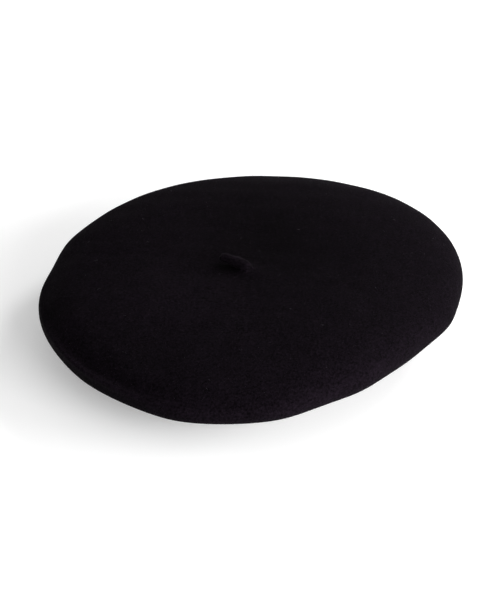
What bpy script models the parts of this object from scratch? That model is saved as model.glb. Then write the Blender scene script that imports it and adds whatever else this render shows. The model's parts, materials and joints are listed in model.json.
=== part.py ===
"""Wool felt beret with a short stalk, a leather sweatband and a satin lining.

Units are metres, +Z is up. The beret stands on the raw edge of its head opening at Z = 0,
and the origin is below the middle of its outline. The back of the hat faces +Y.
"""
import math

import bmesh
import bpy
from mathutils import Matrix, Vector

# Felt crown: one shell with a round top, a soft rim, an underside and a short upright band.
OPENING_CENTRE = Vector((-0.0038, -0.0071, 0.0))
RIM_RADIUS = 0.1327
RIM_HEIGHT = 0.0291
CROWN_HEIGHT = 0.0486
TOP_SPREAD = 0.55          # share of the rim radius that the flat middle of the top reaches
TOP_ROLL = 0.0191          # how far the rim's upright stretch reaches up into the top
UNDER_ROLL = 0.0103        # the same, down into the underside
UNDER_SPREAD = 0.014       # how far out from the band the underside's hollow starts,
UNDER_LIFT = 0.004         # and how far above the band
BAND_RADIUS = 0.0951       # outside of the felt at the raw edge
BAND_FLARE = 0.0025
BAND_HEIGHT = 0.011
BAND_HOLLOW = (0.001, 0.002)   # how the band curves in from its top: outwards, downwards
BAND_FOOT = 0.002          # last stretch above the raw edge, exactly upright
FELT_THICKNESS = 0.0022

# How the soft rim lies out of round: lobes, height of the wave, direction of its first crest.
OUTLINE_WAVES = ((1, 0.00903, 76.9), (2, 0.00758, 45.3), (3, 0.00180, 24.5), (4, 0.00076, 0.8))
LIFT_WAVES = ((1, 0.00182, 1.6), (2, 0.00063, -35.2), (3, 0.00030, -21.4), (4, 0.00119, 37.8))

# Stalk: a rolled felt stub on a bead that sits in a puckered cup at the top of the crown.
BEAD_RADIUS = 0.0028
BEAD_HEIGHT = 0.0506
CUP_REACH = 55.0           # degrees that the cup wraps round the bead from below
SOCKET_REACH = 48.0        # degrees that the stalk's hollow foot wraps round the bead
LIP_WIDTH = 0.0011
LIP_RISE = 0.0002
PUCKER_RADIUS = 0.013
PUCKER_EASE = (0.0035, 0.004)  # how far the slope runs on level at the lip and at its outer edge
STALK_LENGTH = 0.0180      # from the bead's centre to the tip
STALK_FOOT_RADIUS = 0.0024
STALK_TIP_RADIUS = 0.0020
STALK_LEAN = 18.0          # degrees above level
STALK_HEADING = 150.0      # degrees round from +X
STALK_SHAFT = (0.004, 0.0065)  # where the taper leaves the tip and reaches the foot
STALK_FOOT_HEIGHT = 0.0024     # of the foot's rim above the bead's centre
STALK_STEPS = 16           # facets round the stalk and its tack
TACK_HOLE_RADIUS = 0.0010
TACK_SHANK_RADIUS = 0.0006
TACK_KNOT_RADIUS = 0.0019
TACK_KNOT_END = 0.8        # radius of the knot's flat ends, as a share of its belt

# Lining: a satin top and a satin side, sewn together inside the rim.
LINING_THICKNESS = 0.0004
LINING_EASE = 0.0004       # space between felt and satin
LINING_SAG = 0.0035        # how far the satin hangs away from the felt in the middle
LINING_FOOT = 0.002
SEAM_THREAD_RADIUS = 0.0003

# Sweatband: a leather strip, butted at the back and sewn to the felt near its lower edge.
SWEATBAND_RADIUS = 0.0909  # outside of the leather
SWEATBAND_THICKNESS = 0.0009
SWEATBAND_FOOT = 0.001
SWEATBAND_TOP = 0.027
BUTT_GAP = 0.0005
STITCH_LINE_HEIGHT = 0.004
STITCH_THREAD_RADIUS = 0.00025
TAPE_SIZE = (0.012, 0.012)
TAPE_FOOT = 0.014
TAPE_THICKNESS = 0.0005
ZIGZAG_WIDTH = 0.0024
ZIGZAG_PITCH = 0.0024
ZIGZAG_MARGIN = 0.002      # between the last zigzag stitch and the leather's top edge

# Labels, both blank.
SIZE_LABEL_SIZE = (0.014, 0.009)
SIZE_LABEL_FOOT = 0.012
SIZE_LABEL_HEADING = 62.0
CARE_LABEL_SIZE = (0.022, 0.019)
CARE_LABEL_HEADING = 118.0
CARE_LABEL_HINGE_HEIGHT = 0.0245
LABEL_THICKNESS = 0.0004
LABEL_THREAD_RADIUS = 0.00025

GAP = 0.0003               # clearance between neighbouring pieces
ROUND_STEPS = 60           # facets round the hat
BACK = 90.0                # heading of the back of the hat


# --- scene helpers ---------------------------------------------------------------------------

def clear_scene():
    for item in list(bpy.data.objects):
        bpy.data.objects.remove(item, do_unlink=True)


def new_collection(name):
    group = bpy.data.collections.new(name)
    bpy.context.scene.collection.children.link(group)
    return group


def new_material(name, colour, roughness):
    made = bpy.data.materials.new(name)
    made.use_nodes = True
    shader = made.node_tree.nodes["Principled BSDF"]
    shader.inputs["Base Color"].default_value = (*colour, 1.0)
    shader.inputs["Roughness"].default_value = roughness
    shader.inputs["Metallic"].default_value = 0.0
    return made


def new_object(name, data, material):
    made = bpy.data.objects.new(name, data)
    data.materials.append(material)
    BERET.objects.link(made)
    return made


def shade_round(mesh, angle=40.0):
    mesh.shade_smooth()
    mesh.set_sharp_from_angle(angle=math.radians(angle))


# --- outlines --------------------------------------------------------------------------------

def bezier(start, first_handle, second_handle, end, steps):
    """Points along a cubic curve in the (radius, height) plane, both ends included."""
    points = []
    for step in range(steps + 1):
        t = step / steps
        weights = ((1 - t) ** 3, 3 * t * (1 - t) ** 2, 3 * t * t * (1 - t), t ** 3)
        corners = (start, first_handle, second_handle, end)
        points.append(tuple(sum(w * c[axis] for w, c in zip(weights, corners)) for axis in (0, 1)))
    return points


def top_outline(steps=14):
    """The top of the crown, from its middle to the rim."""
    middle = (0.0, CROWN_HEIGHT)
    rim = (RIM_RADIUS, RIM_HEIGHT)
    flat_handle = (TOP_SPREAD * RIM_RADIUS, CROWN_HEIGHT)
    return bezier(middle, flat_handle, (RIM_RADIUS, RIM_HEIGHT + TOP_ROLL), rim, steps)


def side_outline():
    """From the rim along the underside and down the band to the raw edge."""
    rim = (RIM_RADIUS, RIM_HEIGHT)
    waist = (BAND_RADIUS + BAND_FLARE, BAND_HEIGHT)
    foot = (BAND_RADIUS, BAND_FOOT)
    under = bezier(rim, (RIM_RADIUS, RIM_HEIGHT - UNDER_ROLL),
                   (BAND_RADIUS + UNDER_SPREAD, BAND_HEIGHT + UNDER_LIFT), waist, 8)
    hollow_out, hollow_down = BAND_HOLLOW
    band = bezier(waist, (BAND_RADIUS + hollow_out, BAND_HEIGHT - hollow_down),
                  (BAND_RADIUS, BAND_FOOT + hollow_down), foot, 3)
    return under[1:] + band[1:] + [(BAND_RADIUS, 0.0)]


def pucker_outline():
    """The drawn-up felt round the stalk: the cup under its bead, the lip and the slope outwards."""
    cup_radius = BEAD_RADIUS + GAP
    first = math.asin(TACK_HOLE_RADIUS / cup_radius)
    last = math.radians(CUP_REACH)
    cup = []
    for step in range(4):
        angle = first + (last - first) * step / 3
        cup.append((cup_radius * math.sin(angle), BEAD_HEIGHT - cup_radius * math.cos(angle)))
    lip = (cup[-1][0] + LIP_WIDTH, cup[-1][1] + LIP_RISE)
    edge = (PUCKER_RADIUS, CROWN_HEIGHT)
    at_lip, at_edge = PUCKER_EASE
    slope = bezier(lip, (lip[0] + at_lip, lip[1] - LIP_RISE), (edge[0] - at_edge, edge[1]), edge, 4)
    return cup + slope


def felt_outline():
    outside = [point for point in top_outline() if point[0] > PUCKER_RADIUS + 2 * GAP]
    return pucker_outline() + outside + side_outline()


# --- draped sheets ---------------------------------------------------------------------------

def wave(angle, waves):
    return sum(height * math.cos(lobes * (angle - math.radians(crest)))
               for lobes, height, crest in waves)


def drape(point):
    """Moves a point of the round hat to where the soft felt really lies."""
    radius = math.hypot(point.x, point.y)
    if radius < 1e-6:
        return point + OPENING_CENTRE
    angle = math.atan2(point.y, point.x)
    outward = min(radius / RIM_RADIUS, 1.0)
    upward = min(max(point.z / RIM_HEIGHT, 0.0), 1.2)
    new_radius = radius + wave(angle, OUTLINE_WAVES) * outward ** 3
    height = point.z + wave(angle, LIFT_WAVES) * outward ** 2 * upward
    flat = Vector((math.cos(angle), math.sin(angle), 0.0)) * new_radius
    return flat + Vector((0.0, 0.0, height)) + OPENING_CENTRE


def turned_mesh(name, outline, span=360.0, steps=ROUND_STEPS):
    """Turns an outline of (radius, height) points about Z."""
    line = bpy.data.meshes.new(name + "_outline")
    points = [(radius, 0.0, height) for radius, height in outline]
    line.from_pydata(points, [(i, i + 1) for i in range(len(points) - 1)], [])
    guide = bpy.data.objects.new(name + "_outline", line)
    GUIDES.objects.link(guide)
    turn = guide.modifiers.new("turn", "SCREW")
    turn.axis = "Z"
    turn.angle = math.radians(span)
    turn.steps = turn.render_steps = steps
    turn.use_merge_vertices = span == 360.0
    turn.merge_threshold = 0.0001
    seen = guide.evaluated_get(bpy.context.evaluated_depsgraph_get())
    mesh = bpy.data.meshes.new_from_object(seen)
    mesh.name = name
    bpy.data.objects.remove(guide, do_unlink=True)
    return mesh


def draped_mesh(name, outline, heading=0.0, span=360.0, steps=ROUND_STEPS):
    """A turned sheet, centred on a heading where it doesn't go all the way round, and draped."""
    mesh = turned_mesh(name, outline, span, steps)
    start = heading - span / 2 if span < 360.0 else 0.0
    mesh.transform(Matrix.Rotation(math.radians(start), 4, "Z"))
    for vertex in mesh.vertices:
        vertex.co = drape(vertex.co)
    mesh.update()
    return mesh


def sink(mesh, depth):
    """Moves an open sheet inwards along its own normals."""
    normals = [vertex.normal.copy() for vertex in mesh.vertices]
    for vertex, normal in zip(mesh.vertices, normals):
        vertex.co -= normal * depth
    mesh.update()
    return mesh


def thicken(made, thickness, side=-1.0):
    wall = made.modifiers.new("wall", "SOLIDIFY")
    wall.thickness = thickness
    wall.offset = side
    wall.use_even_offset = True
    shade_round(made.data)


def draped_point(radius, height, heading):
    angle = math.radians(heading)
    return drape(Vector((radius * math.cos(angle), radius * math.sin(angle), height)))


def thread(name, points, radius, material, closed=False):
    """A round thread through the points, with filled ends unless it closes on itself."""
    curve = bpy.data.curves.new(name, "CURVE")
    curve.dimensions = "3D"
    curve.bevel_depth = radius
    curve.bevel_resolution = 1
    curve.use_fill_caps = not closed
    spline = curve.splines.new("POLY")
    spline.points.add(len(points) - 1)
    for knot, point in zip(spline.points, points):
        knot.co = (*point, 1.0)
    spline.use_cyclic_u = closed
    return new_object(name, curve, material)


# --- felt ------------------------------------------------------------------------------------

def build_felt_crown(felt):
    shell = new_object("felt_crown", draped_mesh("felt_crown", felt_outline()), felt)
    thicken(shell, FELT_THICKNESS)


def build_stalk(felt, cotton):
    """The bead and the stub share an empty at the bead's centre, where both hinges cross."""
    pivot = bpy.data.objects.new("stalk_pivot", None)
    pivot.location = OPENING_CENTRE + Vector((0.0, 0.0, BEAD_HEIGHT))
    pivot.rotation_euler = (0.0, 0.0, math.radians(STALK_HEADING))
    BERET.objects.link(pivot)

    bead = bpy.data.meshes.new("stalk_root")
    ball = bmesh.new()
    bmesh.ops.create_uvsphere(ball, u_segments=16, v_segments=10, radius=BEAD_RADIUS)
    ball.to_mesh(bead)
    ball.free()
    shade_round(bead)
    new_object("stalk_root", bead, felt).parent = pivot

    stub = turned_mesh("stalk", stub_outline(), steps=STALK_STEPS)
    shade_round(stub)
    stalk = new_object("stalk", stub, felt)
    stalk.parent = pivot
    stalk.rotation_euler = (0.0, math.radians(90.0 - STALK_LEAN), 0.0)

    build_tack(cotton)


def stub_outline():
    """Down the stub from its round tip to its foot, which is hollowed to fit over the bead."""
    socket = BEAD_RADIUS + GAP
    tip_start = STALK_LENGTH - STALK_TIP_RADIUS
    outline = []
    for step in range(5):
        angle = math.radians(90.0 - 90.0 * step / 4)
        outline.append((STALK_TIP_RADIUS * math.cos(angle),
                        tip_start + STALK_TIP_RADIUS * math.sin(angle)))
    from_tip, to_foot = STALK_SHAFT
    outline += bezier(outline[-1], (STALK_TIP_RADIUS, tip_start - from_tip),
                      (STALK_FOOT_RADIUS, to_foot), (STALK_FOOT_RADIUS, STALK_FOOT_HEIGHT), 5)[1:]
    for step in range(4):
        turn = math.radians(SOCKET_REACH * (3 - step) / 3)
        outline.append((socket * math.sin(turn), socket * math.cos(turn)))
    return outline


def build_tack(cotton):
    """The thread that ties the stalk down: a shank in the hole and a knot under the felt."""
    shank_top = BEAD_HEIGHT - BEAD_RADIUS - GAP
    knot_top = BEAD_HEIGHT - BEAD_RADIUS - GAP - FELT_THICKNESS - GAP
    knot_foot = CROWN_HEIGHT - FELT_THICKNESS - LINING_EASE - LINING_SAG + GAP
    belt = (knot_top + knot_foot) / 2
    knot_end = TACK_KNOT_RADIUS * TACK_KNOT_END
    outline = [(0.0, shank_top), (TACK_SHANK_RADIUS, shank_top), (TACK_SHANK_RADIUS, knot_top),
               (knot_end, knot_top), (TACK_KNOT_RADIUS, belt), (knot_end, knot_foot),
               (0.0, knot_foot)]
    mesh = turned_mesh("stalk_tack", outline, steps=STALK_STEPS)
    shade_round(mesh)
    tack = new_object("stalk_tack", mesh, cotton)
    tack.location = OPENING_CENTRE


# --- lining ----------------------------------------------------------------------------------

def build_lining(satin, cotton):
    depth = FELT_THICKNESS + LINING_EASE
    sagging = [(radius, height - LINING_SAG * (1 - (radius / RIM_RADIUS) ** 2) ** 2)
               for radius, height in top_outline(11)[:-1]]
    top = sink(draped_mesh("lining_top", sagging), depth)
    seam = seam_points(top)
    thicken(new_object("lining_top", top, satin), LINING_THICKNESS)

    side_line = [point for point in side_outline() if point[1] > LINING_FOOT]
    side = sink(draped_mesh("lining_side", side_line + [(BAND_RADIUS, LINING_FOOT)]), depth)
    thicken(new_object("lining_side", side, satin), LINING_THICKNESS)

    thread("lining_seam_thread", seam, SEAM_THREAD_RADIUS, cotton, closed=True)


def seam_points(sheet):
    """The free edge of the lining's top, moved just inside the satin."""
    edge_use = {}
    for face in sheet.polygons:
        for key in face.edge_keys:
            edge_use[key] = edge_use.get(key, 0) + 1
    rim = {index for key, uses in edge_use.items() if uses == 1 for index in key}
    middle = OPENING_CENTRE
    inwards = LINING_THICKNESS + GAP + SEAM_THREAD_RADIUS
    points = [sheet.vertices[index].co - sheet.vertices[index].normal * inwards for index in rim]
    return sorted(points, key=lambda point: math.atan2(point.y - middle.y, point.x - middle.x))


# --- sweatband -------------------------------------------------------------------------------

def build_sweatband(leather, cotton, ribbon):
    strip = [(SWEATBAND_RADIUS, SWEATBAND_TOP), (SWEATBAND_RADIUS, BAND_HEIGHT),
             (SWEATBAND_RADIUS, SWEATBAND_FOOT)]
    butt = math.degrees(BUTT_GAP / SWEATBAND_RADIUS)
    sheet = draped_mesh("sweatband", strip, heading=BACK + 180.0, span=360.0 - butt)
    thicken(new_object("sweatband", sheet, leather), SWEATBAND_THICKNESS)

    face_radius = SWEATBAND_RADIUS - SWEATBAND_THICKNESS - GAP
    row_radius = face_radius - STITCH_THREAD_RADIUS
    row = [draped_point(row_radius, STITCH_LINE_HEIGHT, 360.0 * step / ROUND_STEPS)
           for step in range(ROUND_STEPS)]
    thread("sweatband_thread", row, STITCH_THREAD_RADIUS, cotton, closed=True)

    build_join(ribbon, cotton, row_radius)


def build_join(ribbon, cotton, row_radius):
    """The tape behind the butted ends and the zigzag that closes them on the inside."""
    tape_radius = SWEATBAND_RADIUS + GAP + TAPE_THICKNESS
    width, height = TAPE_SIZE
    line = [(tape_radius, TAPE_FOOT + height), (tape_radius, TAPE_FOOT)]
    sheet = draped_mesh("sweatband_join_tape", line, heading=BACK,
                        span=math.degrees(width / tape_radius), steps=6)
    thicken(new_object("sweatband_join_tape", sheet, ribbon), TAPE_THICKNESS)

    first = STITCH_LINE_HEIGHT + 2 * STITCH_THREAD_RADIUS + 2 * GAP
    turns = int((SWEATBAND_TOP - ZIGZAG_MARGIN - first) / ZIGZAG_PITCH)
    half = math.degrees(ZIGZAG_WIDTH / 2 / row_radius)
    zigzag = []
    for step in range(turns + 1):
        side = half if step % 2 else -half
        zigzag.append(draped_point(row_radius, first + ZIGZAG_PITCH * step, BACK + side))
    thread("sweatband_join_thread", zigzag, STITCH_THREAD_RADIUS, cotton)


# --- labels ----------------------------------------------------------------------------------

def build_size_label(ribbon):
    radius = SWEATBAND_RADIUS - SWEATBAND_THICKNESS - GAP
    width, height = SIZE_LABEL_SIZE
    line = [(radius, SIZE_LABEL_FOOT + height), (radius, SIZE_LABEL_FOOT)]
    sheet = draped_mesh("size_label", line, heading=SIZE_LABEL_HEADING,
                        span=math.degrees(width / radius), steps=6)
    thicken(new_object("size_label", sheet, ribbon), LABEL_THICKNESS)


def build_care_label(ribbon, cotton):
    """A folded flap that hangs from a short seam on the leather; its empty is on the hinge."""
    width, length = CARE_LABEL_SIZE
    leather_face = SWEATBAND_RADIUS - SWEATBAND_THICKNESS
    bow = width * width / (8 * leather_face)
    radius = leather_face - GAP - bow - LABEL_THICKNESS
    hinge = bpy.data.objects.new("care_label_hinge", None)
    hinge.location = draped_point(radius, CARE_LABEL_HINGE_HEIGHT, CARE_LABEL_HEADING)
    hinge.rotation_euler = (0.0, 0.0, math.radians(CARE_LABEL_HEADING))
    BERET.objects.link(hinge)

    flap = bpy.data.meshes.new("care_label")
    slab = bmesh.new()
    bmesh.ops.create_cube(slab, size=1.0)
    bmesh.ops.scale(slab, vec=(LABEL_THICKNESS, width, length), verts=slab.verts)
    drop = length / 2 + LABEL_THREAD_RADIUS + GAP
    bmesh.ops.translate(slab, vec=(0.0, 0.0, -drop), verts=slab.verts)
    slab.to_mesh(flap)
    slab.free()
    made = new_object("care_label", flap, ribbon)
    made.parent = hinge
    soft_edge = made.modifiers.new("soft_edge", "BEVEL")
    soft_edge.width = LABEL_THICKNESS / 4
    soft_edge.segments = 1

    half = width / 2
    seam = thread("care_label_thread", [(0.0, -half, 0.0), (0.0, half, 0.0)],
                  LABEL_THREAD_RADIUS, cotton)
    seam.parent = hinge


# --- build -----------------------------------------------------------------------------------

clear_scene()
BERET = new_collection("beret")
GUIDES = new_collection("outlines")

FELT = new_material("black_wool_felt", (0.0075, 0.0060, 0.0080), 0.95)
LEATHER = new_material("black_leather", (0.0120, 0.0105, 0.0100), 0.55)
SATIN = new_material("black_satin", (0.0100, 0.0090, 0.0120), 0.35)
COTTON = new_material("black_cotton_thread", (0.0140, 0.0130, 0.0140), 0.85)
RIBBON = new_material("white_label_tape", (0.7000, 0.6900, 0.6600), 0.75)

build_felt_crown(FELT)
build_stalk(FELT, COTTON)
build_lining(SATIN, COTTON)
build_sweatband(LEATHER, COTTON, RIBBON)
build_size_label(RIBBON)
build_care_label(RIBBON, COTTON)
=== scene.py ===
import json
import math

import bpy
import numpy as np
from mathutils import Matrix, Vector


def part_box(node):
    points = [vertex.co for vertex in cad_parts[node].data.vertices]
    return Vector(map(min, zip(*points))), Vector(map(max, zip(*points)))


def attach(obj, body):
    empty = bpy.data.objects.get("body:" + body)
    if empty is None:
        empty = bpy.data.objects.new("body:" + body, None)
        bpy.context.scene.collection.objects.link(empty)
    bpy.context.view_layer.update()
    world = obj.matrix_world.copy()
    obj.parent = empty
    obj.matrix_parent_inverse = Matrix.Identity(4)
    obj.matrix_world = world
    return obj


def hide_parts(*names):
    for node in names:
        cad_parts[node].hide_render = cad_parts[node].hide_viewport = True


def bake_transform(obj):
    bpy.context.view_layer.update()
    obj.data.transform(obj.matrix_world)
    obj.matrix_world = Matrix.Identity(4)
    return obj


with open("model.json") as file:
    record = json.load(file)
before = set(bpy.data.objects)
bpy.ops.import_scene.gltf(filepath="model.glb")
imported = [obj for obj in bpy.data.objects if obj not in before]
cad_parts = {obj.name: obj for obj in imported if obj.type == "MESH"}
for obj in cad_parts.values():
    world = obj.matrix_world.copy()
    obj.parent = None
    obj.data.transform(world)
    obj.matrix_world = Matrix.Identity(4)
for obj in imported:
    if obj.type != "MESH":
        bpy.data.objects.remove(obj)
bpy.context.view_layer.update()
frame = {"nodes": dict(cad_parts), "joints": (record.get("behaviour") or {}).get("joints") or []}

joints = {joint["name"]: joint for joint in frame["joints"]}
stalk_foot = Vector(joints["stalk_bend"]["pos_m"])
opening_centre = Vector((stalk_foot.x, stalk_foot.y, 0.0))


# --- Camera and studio -------------------------------------------------------------------------
# The hat lies on a white sweep of card, seen from about a third of the way up. Three soft lamps
# stand round its right side, one high at the back, one low at the side and one at the front, and
# the card throws light back up under the rim.

def select_none():
    if bpy.context.object and bpy.context.object.mode != "OBJECT":
        bpy.ops.object.mode_set(mode="OBJECT")
    bpy.ops.object.select_all(action="DESELECT")


def linear(hex_colour):
    """An sRGB colour such as 1A2B3C as linear red, green, blue and alpha."""
    channels = [int(hex_colour[i:i + 2], 16) / 255 for i in (0, 2, 4)]
    return [c / 12.92 if c <= 0.04045 else ((c + 0.055) / 1.055) ** 2.4 for c in channels] + [1.0]


def add_node(material, kind, settings=None, links=None):
    """Adds a node. Settings are sockets or properties by name; links go from (node, socket)."""
    node = material.node_tree.nodes.new(kind)
    for name, value in (settings or {}).items():
        if hasattr(node, name):
            setattr(node, name, value)
        else:
            node.inputs[name].default_value = value
    for name, (source, output) in (links or {}).items():
        material.node_tree.links.new(source.outputs[output], node.inputs[name])
    return node


def new_material(name):
    """An empty node material with its output node."""
    material = bpy.data.materials.new(name)
    material.use_nodes = True
    material.node_tree.nodes.clear()
    return material, add_node(material, "ShaderNodeOutputMaterial")


def finish_material(material, output, shader):
    material.node_tree.links.new(shader.outputs["BSDF"], output.inputs["Surface"])


camera_distance = 1.4
camera_rise = math.radians(34.0)
camera_data = bpy.data.cameras.new("camera")
camera_data.sensor_width = 36.0
camera_data.lens = 132.9
camera = bpy.data.objects.new("camera", camera_data)
bpy.context.scene.collection.objects.link(camera)
bpy.context.scene.camera = camera
look_at = opening_centre + Vector((0.0025, 0.0, 0.0256))
look_back = Vector((0.0, -math.cos(camera_rise), math.sin(camera_rise)))
camera.location = look_at + look_back * camera_distance
camera.rotation_euler = (-look_back).to_track_quat("-Z", "Y").to_euler()

card_paper, paper_output = new_material("matt_white_card")
paper_shader = add_node(card_paper, "ShaderNodeBsdfPrincipled",
                        {"Base Color": linear("F4F4F4"), "Roughness": 0.95,
                         "Emission Color": linear("FFFFFF"), "Emission Strength": 0.25})
finish_material(card_paper, paper_output, paper_shader)
select_none()
bpy.ops.mesh.primitive_plane_add(size=6.0, location=(0.0, 0.0, 0.0))
floor = bpy.context.object
floor.name = "studio_card"
floor.data.materials.append(card_paper)

world = bpy.data.worlds.new("studio_air")
world.use_nodes = True
world.node_tree.nodes["Background"].inputs["Color"].default_value = linear("FFFFFF")
world.node_tree.nodes["Background"].inputs["Strength"].default_value = 0.46
bpy.context.scene.world = world
bpy.context.scene.view_settings.view_transform = "Standard"

for lamp_name, watts, size, place in (
        ("key_lamp", 13.6, 0.55, (1.0, 1.0, 0.95)),
        ("side_lamp", 30.0, 0.9, (1.45, -0.25, 0.28)),
        ("front_lamp", 24.0, 0.9, (0.85, -1.10, 0.42))):
    lamp_data = bpy.data.lights.new(lamp_name, "AREA")
    lamp_data.energy = watts
    lamp_data.size = size
    lamp = bpy.data.objects.new(lamp_name, lamp_data)
    bpy.context.scene.collection.objects.link(lamp)
    lamp.location = place
    lamp.rotation_euler = (look_at - Vector(place)).to_track_quat("-Z", "Y").to_euler()


# --- Felt crown --------------------------------------------------------------------------------
# One seamless shell of knitted and heavily fulled merino wool, about 2 mm thick. It is milled
# until the stitches vanish, dyed black, steamed on a round form and then left to lie soft, so
# its rim is out of round and its band ends in a raw cut edge.

def mm(value):
    return value / 1000.0


def curve(start, first_handle, second_handle, end, steps):
    """Points along a cubic curve of (radius, height) pairs, both ends included."""
    points = []
    for step in range(steps + 1):
        t = step / steps
        weights = ((1 - t) ** 3, 3 * t * (1 - t) ** 2, 3 * t * t * (1 - t), t ** 3)
        corners = (start, first_handle, second_handle, end)
        points.append([sum(w * c[axis] for w, c in zip(weights, corners)) for axis in (0, 1)])
    return points


rim_radius = mm(132.7)
rim_height = mm(29.1)
crown_height = mm(48.6)
band_radius = mm(95.1)
band_height = mm(11.0)
felt_thickness = mm(2.2)
# Waves of the outline and of the rim's height: how many go round, size in mm, heading of a crest.
outline_waves = ((1, 9.03, 76.9), (2, 7.58, 45.3), (3, 1.80, 24.5), (4, 0.76, 0.8))
lift_waves = ((1, 1.82, 1.6), (2, 0.63, -35.2), (3, 0.30, -21.4), (4, 1.19, 37.8))
# Soft corners and flats of the rim: heading and spread in degrees, push outwards in mm.
rim_pushes = ((306, 9, 2.8), (322, 12, 1.2), (346, 7, 2.2), (280, 9, 2.0), (251, 8, 1.4),
              (221, 9, 1.0), (167, 8, -1.6), (152, 7, 1.4))

# The outside of the felt: from the middle to the rim, from there in to the band, and down the band.
top_line = curve((0.0, crown_height), (0.55 * rim_radius, crown_height),
                 (rim_radius, rim_height + mm(19.1)), (rim_radius, rim_height), 40)
under_line = curve((rim_radius, rim_height), (rim_radius, rim_height - mm(10.3)),
                   (band_radius + mm(14.0), band_height + mm(4.0)),
                   (band_radius + mm(2.5), band_height), 22)
band_line = curve((band_radius + mm(2.5), band_height), (band_radius + mm(1.0), band_height - mm(2.0)),
                  (band_radius, mm(4.0)), (band_radius, mm(2.0)), 6)

# Folds of the left side: heading and spread in degrees.
front_fold = (224, 27)
left_fold = (194, 20)
# What the front fold does at three levels of the round hat: level and reach up and down, then how
# far the felt moves outwards and upwards, all in mm. The ridge stands out over a hollow wall.
fold_levels = ((34.6, 2.0, 2.2, 0.0), (27.5, 4.5, -1.2, 0.0), (34.8, 1.5, 0.0, 1.8))
hollow_depth = mm(2.3)
hollow_level, hollow_reach = mm(38.0), mm(2.8)
lip_height = mm(0.9)
lip_radius, lip_reach = mm(112.0), mm(7.0)
# Shallow swells and hollows of the top: heading, distance from the stalk, spread, height in mm.
top_swells = ((200, 62, 26, 1.3), (236, 96, 20, -1.6), (330, 70, 30, 0.8), (95, 40, 26, -0.9),
              (20, 48, 24, -0.7), (285, 88, 22, -0.8), (150, 92, 24, 0.6))
ripples = ((170.0, 60.0, 0.3), (-80.0, 190.0, 1.7), (240.0, -130.0, 4.1), (60.0, 330.0, 2.2))
ripple_height = mm(0.10)
# Swells and ripples begin at this level and reach their full height 10 mm above it.
top_level = mm(30.0)
# Painted light and shade: patches where the felt's colour is made lighter or darker to stand for how the
# lamps fall on it. The first three as in the swells, and how much lighter. The last three paint the
# stalk's shadow.
painted_light_patches = ((70, 35, 46, -0.42), (12, 53, 40, -0.12), (205, 66, 38, 0.30), (300, 118, 34, 0.15),
             (90, 100, 44, -0.22), (231, 106, 26, -0.22), (193, 126, 8, -0.45), (200, 114, 5, 0.30),
             (163, 17.5, 4, -0.40), (172, 12, 4, -0.45), (195, 7, 3.5, -0.30))
# Painted light and shade near the rim: a painted highlight on the fold's ridge, painted shade on the wall
# under it and a lighter painted band round the front. Heading and spread in degrees, level and reach in
# mm, how much lighter.
painted_rim_light = ((222, 24, 35.2, 1.7, 0.75), (222, 24, 25.0, 6.0, -0.45), (282, 34, 29.0, 8.0, 0.30))


def wave(angle, waves):
    return sum(mm(height) * np.cos(lobes * (angle - math.radians(crest)))
               for lobes, height, crest in waves)


def drape(points):
    """Moves points of the round hat, as rows of x, y, z round its own axis, to where the felt lies."""
    points = np.asarray(points, float)
    radius = np.maximum(np.hypot(points[:, 0], points[:, 1]), 1e-9)
    angle = np.arctan2(points[:, 1], points[:, 0])
    outward = np.minimum(radius / rim_radius, 1.0)
    upward = np.clip(points[:, 2] / rim_height, 0.0, 1.2)
    new_radius = radius + wave(angle, outline_waves) * outward ** 3
    height = points[:, 2] + wave(angle, lift_waves) * outward ** 2 * upward
    return np.column_stack([opening_centre.x + new_radius * np.cos(angle),
                            opening_centre.y + new_radius * np.sin(angle), height])


def turn_between(angle, heading):
    """The angle from a heading in degrees, as radians between minus and plus half a turn."""
    return (angle - math.radians(heading) + math.pi) % (2 * math.pi) - math.pi


def hump(distance, spread):
    return np.exp(-(distance / spread) ** 2)


def spread_patches(points, patches):
    """Adds up soft round patches: heading and distance from the stalk, spread in mm, amount."""
    total = np.zeros(len(points))
    for heading, where_mm, spread_mm, amount in patches:
        turn = math.radians(heading)
        across = points[:, 0] - mm(where_mm) * math.cos(turn)
        along = points[:, 1] - mm(where_mm) * math.sin(turn)
        total += amount * hump(np.hypot(across, along), mm(spread_mm))
    return total


def at_rim(points, heading, spread):
    """From 0 to 1, how near points of the round hat are to a heading in degrees and to the rim."""
    angle = np.arctan2(points[:, 1], points[:, 0])
    outward = np.minimum(np.hypot(points[:, 0], points[:, 1]) / rim_radius, 1.0)
    return hump(turn_between(angle, heading), math.radians(spread)) * outward ** 6


def settle(points, moved):
    """Adds the folds that the felt has taken on to points already draped, from where they were."""
    radius = np.hypot(points[:, 0], points[:, 1])
    angle = np.arctan2(points[:, 1], points[:, 0])
    height = points[:, 2]
    push = np.zeros(len(points))
    for heading, spread, amount in rim_pushes:
        push += mm(amount) * at_rim(points, heading, spread)
    rise = np.zeros(len(points))
    for level, reach, outwards, upwards in fold_levels:
        fold = at_rim(points, *front_fold) * hump(height - mm(level), mm(reach))
        push += mm(outwards) * fold
        rise += mm(upwards) * fold
    hollow = np.maximum(at_rim(points, *front_fold), at_rim(points, *left_fold))
    rise -= hollow_depth * hollow * hump(height - hollow_level, hollow_reach)
    left_heading, left_spread = left_fold
    lip = hump(turn_between(angle, left_heading), math.radians(left_spread))
    rise += lip_height * lip * hump(radius - lip_radius, lip_reach)
    top = np.clip((height - top_level) / mm(10), 0.0, 1.0)
    rise += mm(1.0) * spread_patches(points, top_swells) * top
    ripple = sum(np.sin(points[:, 0] * kx + points[:, 1] * ky + phase) for kx, ky, phase in ripples)
    rise += ripple_height * ripple * top
    settled = moved.copy()
    settled[:, 0] += push * np.cos(angle)
    settled[:, 1] += push * np.sin(angle)
    settled[:, 2] += rise
    return settled


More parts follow.
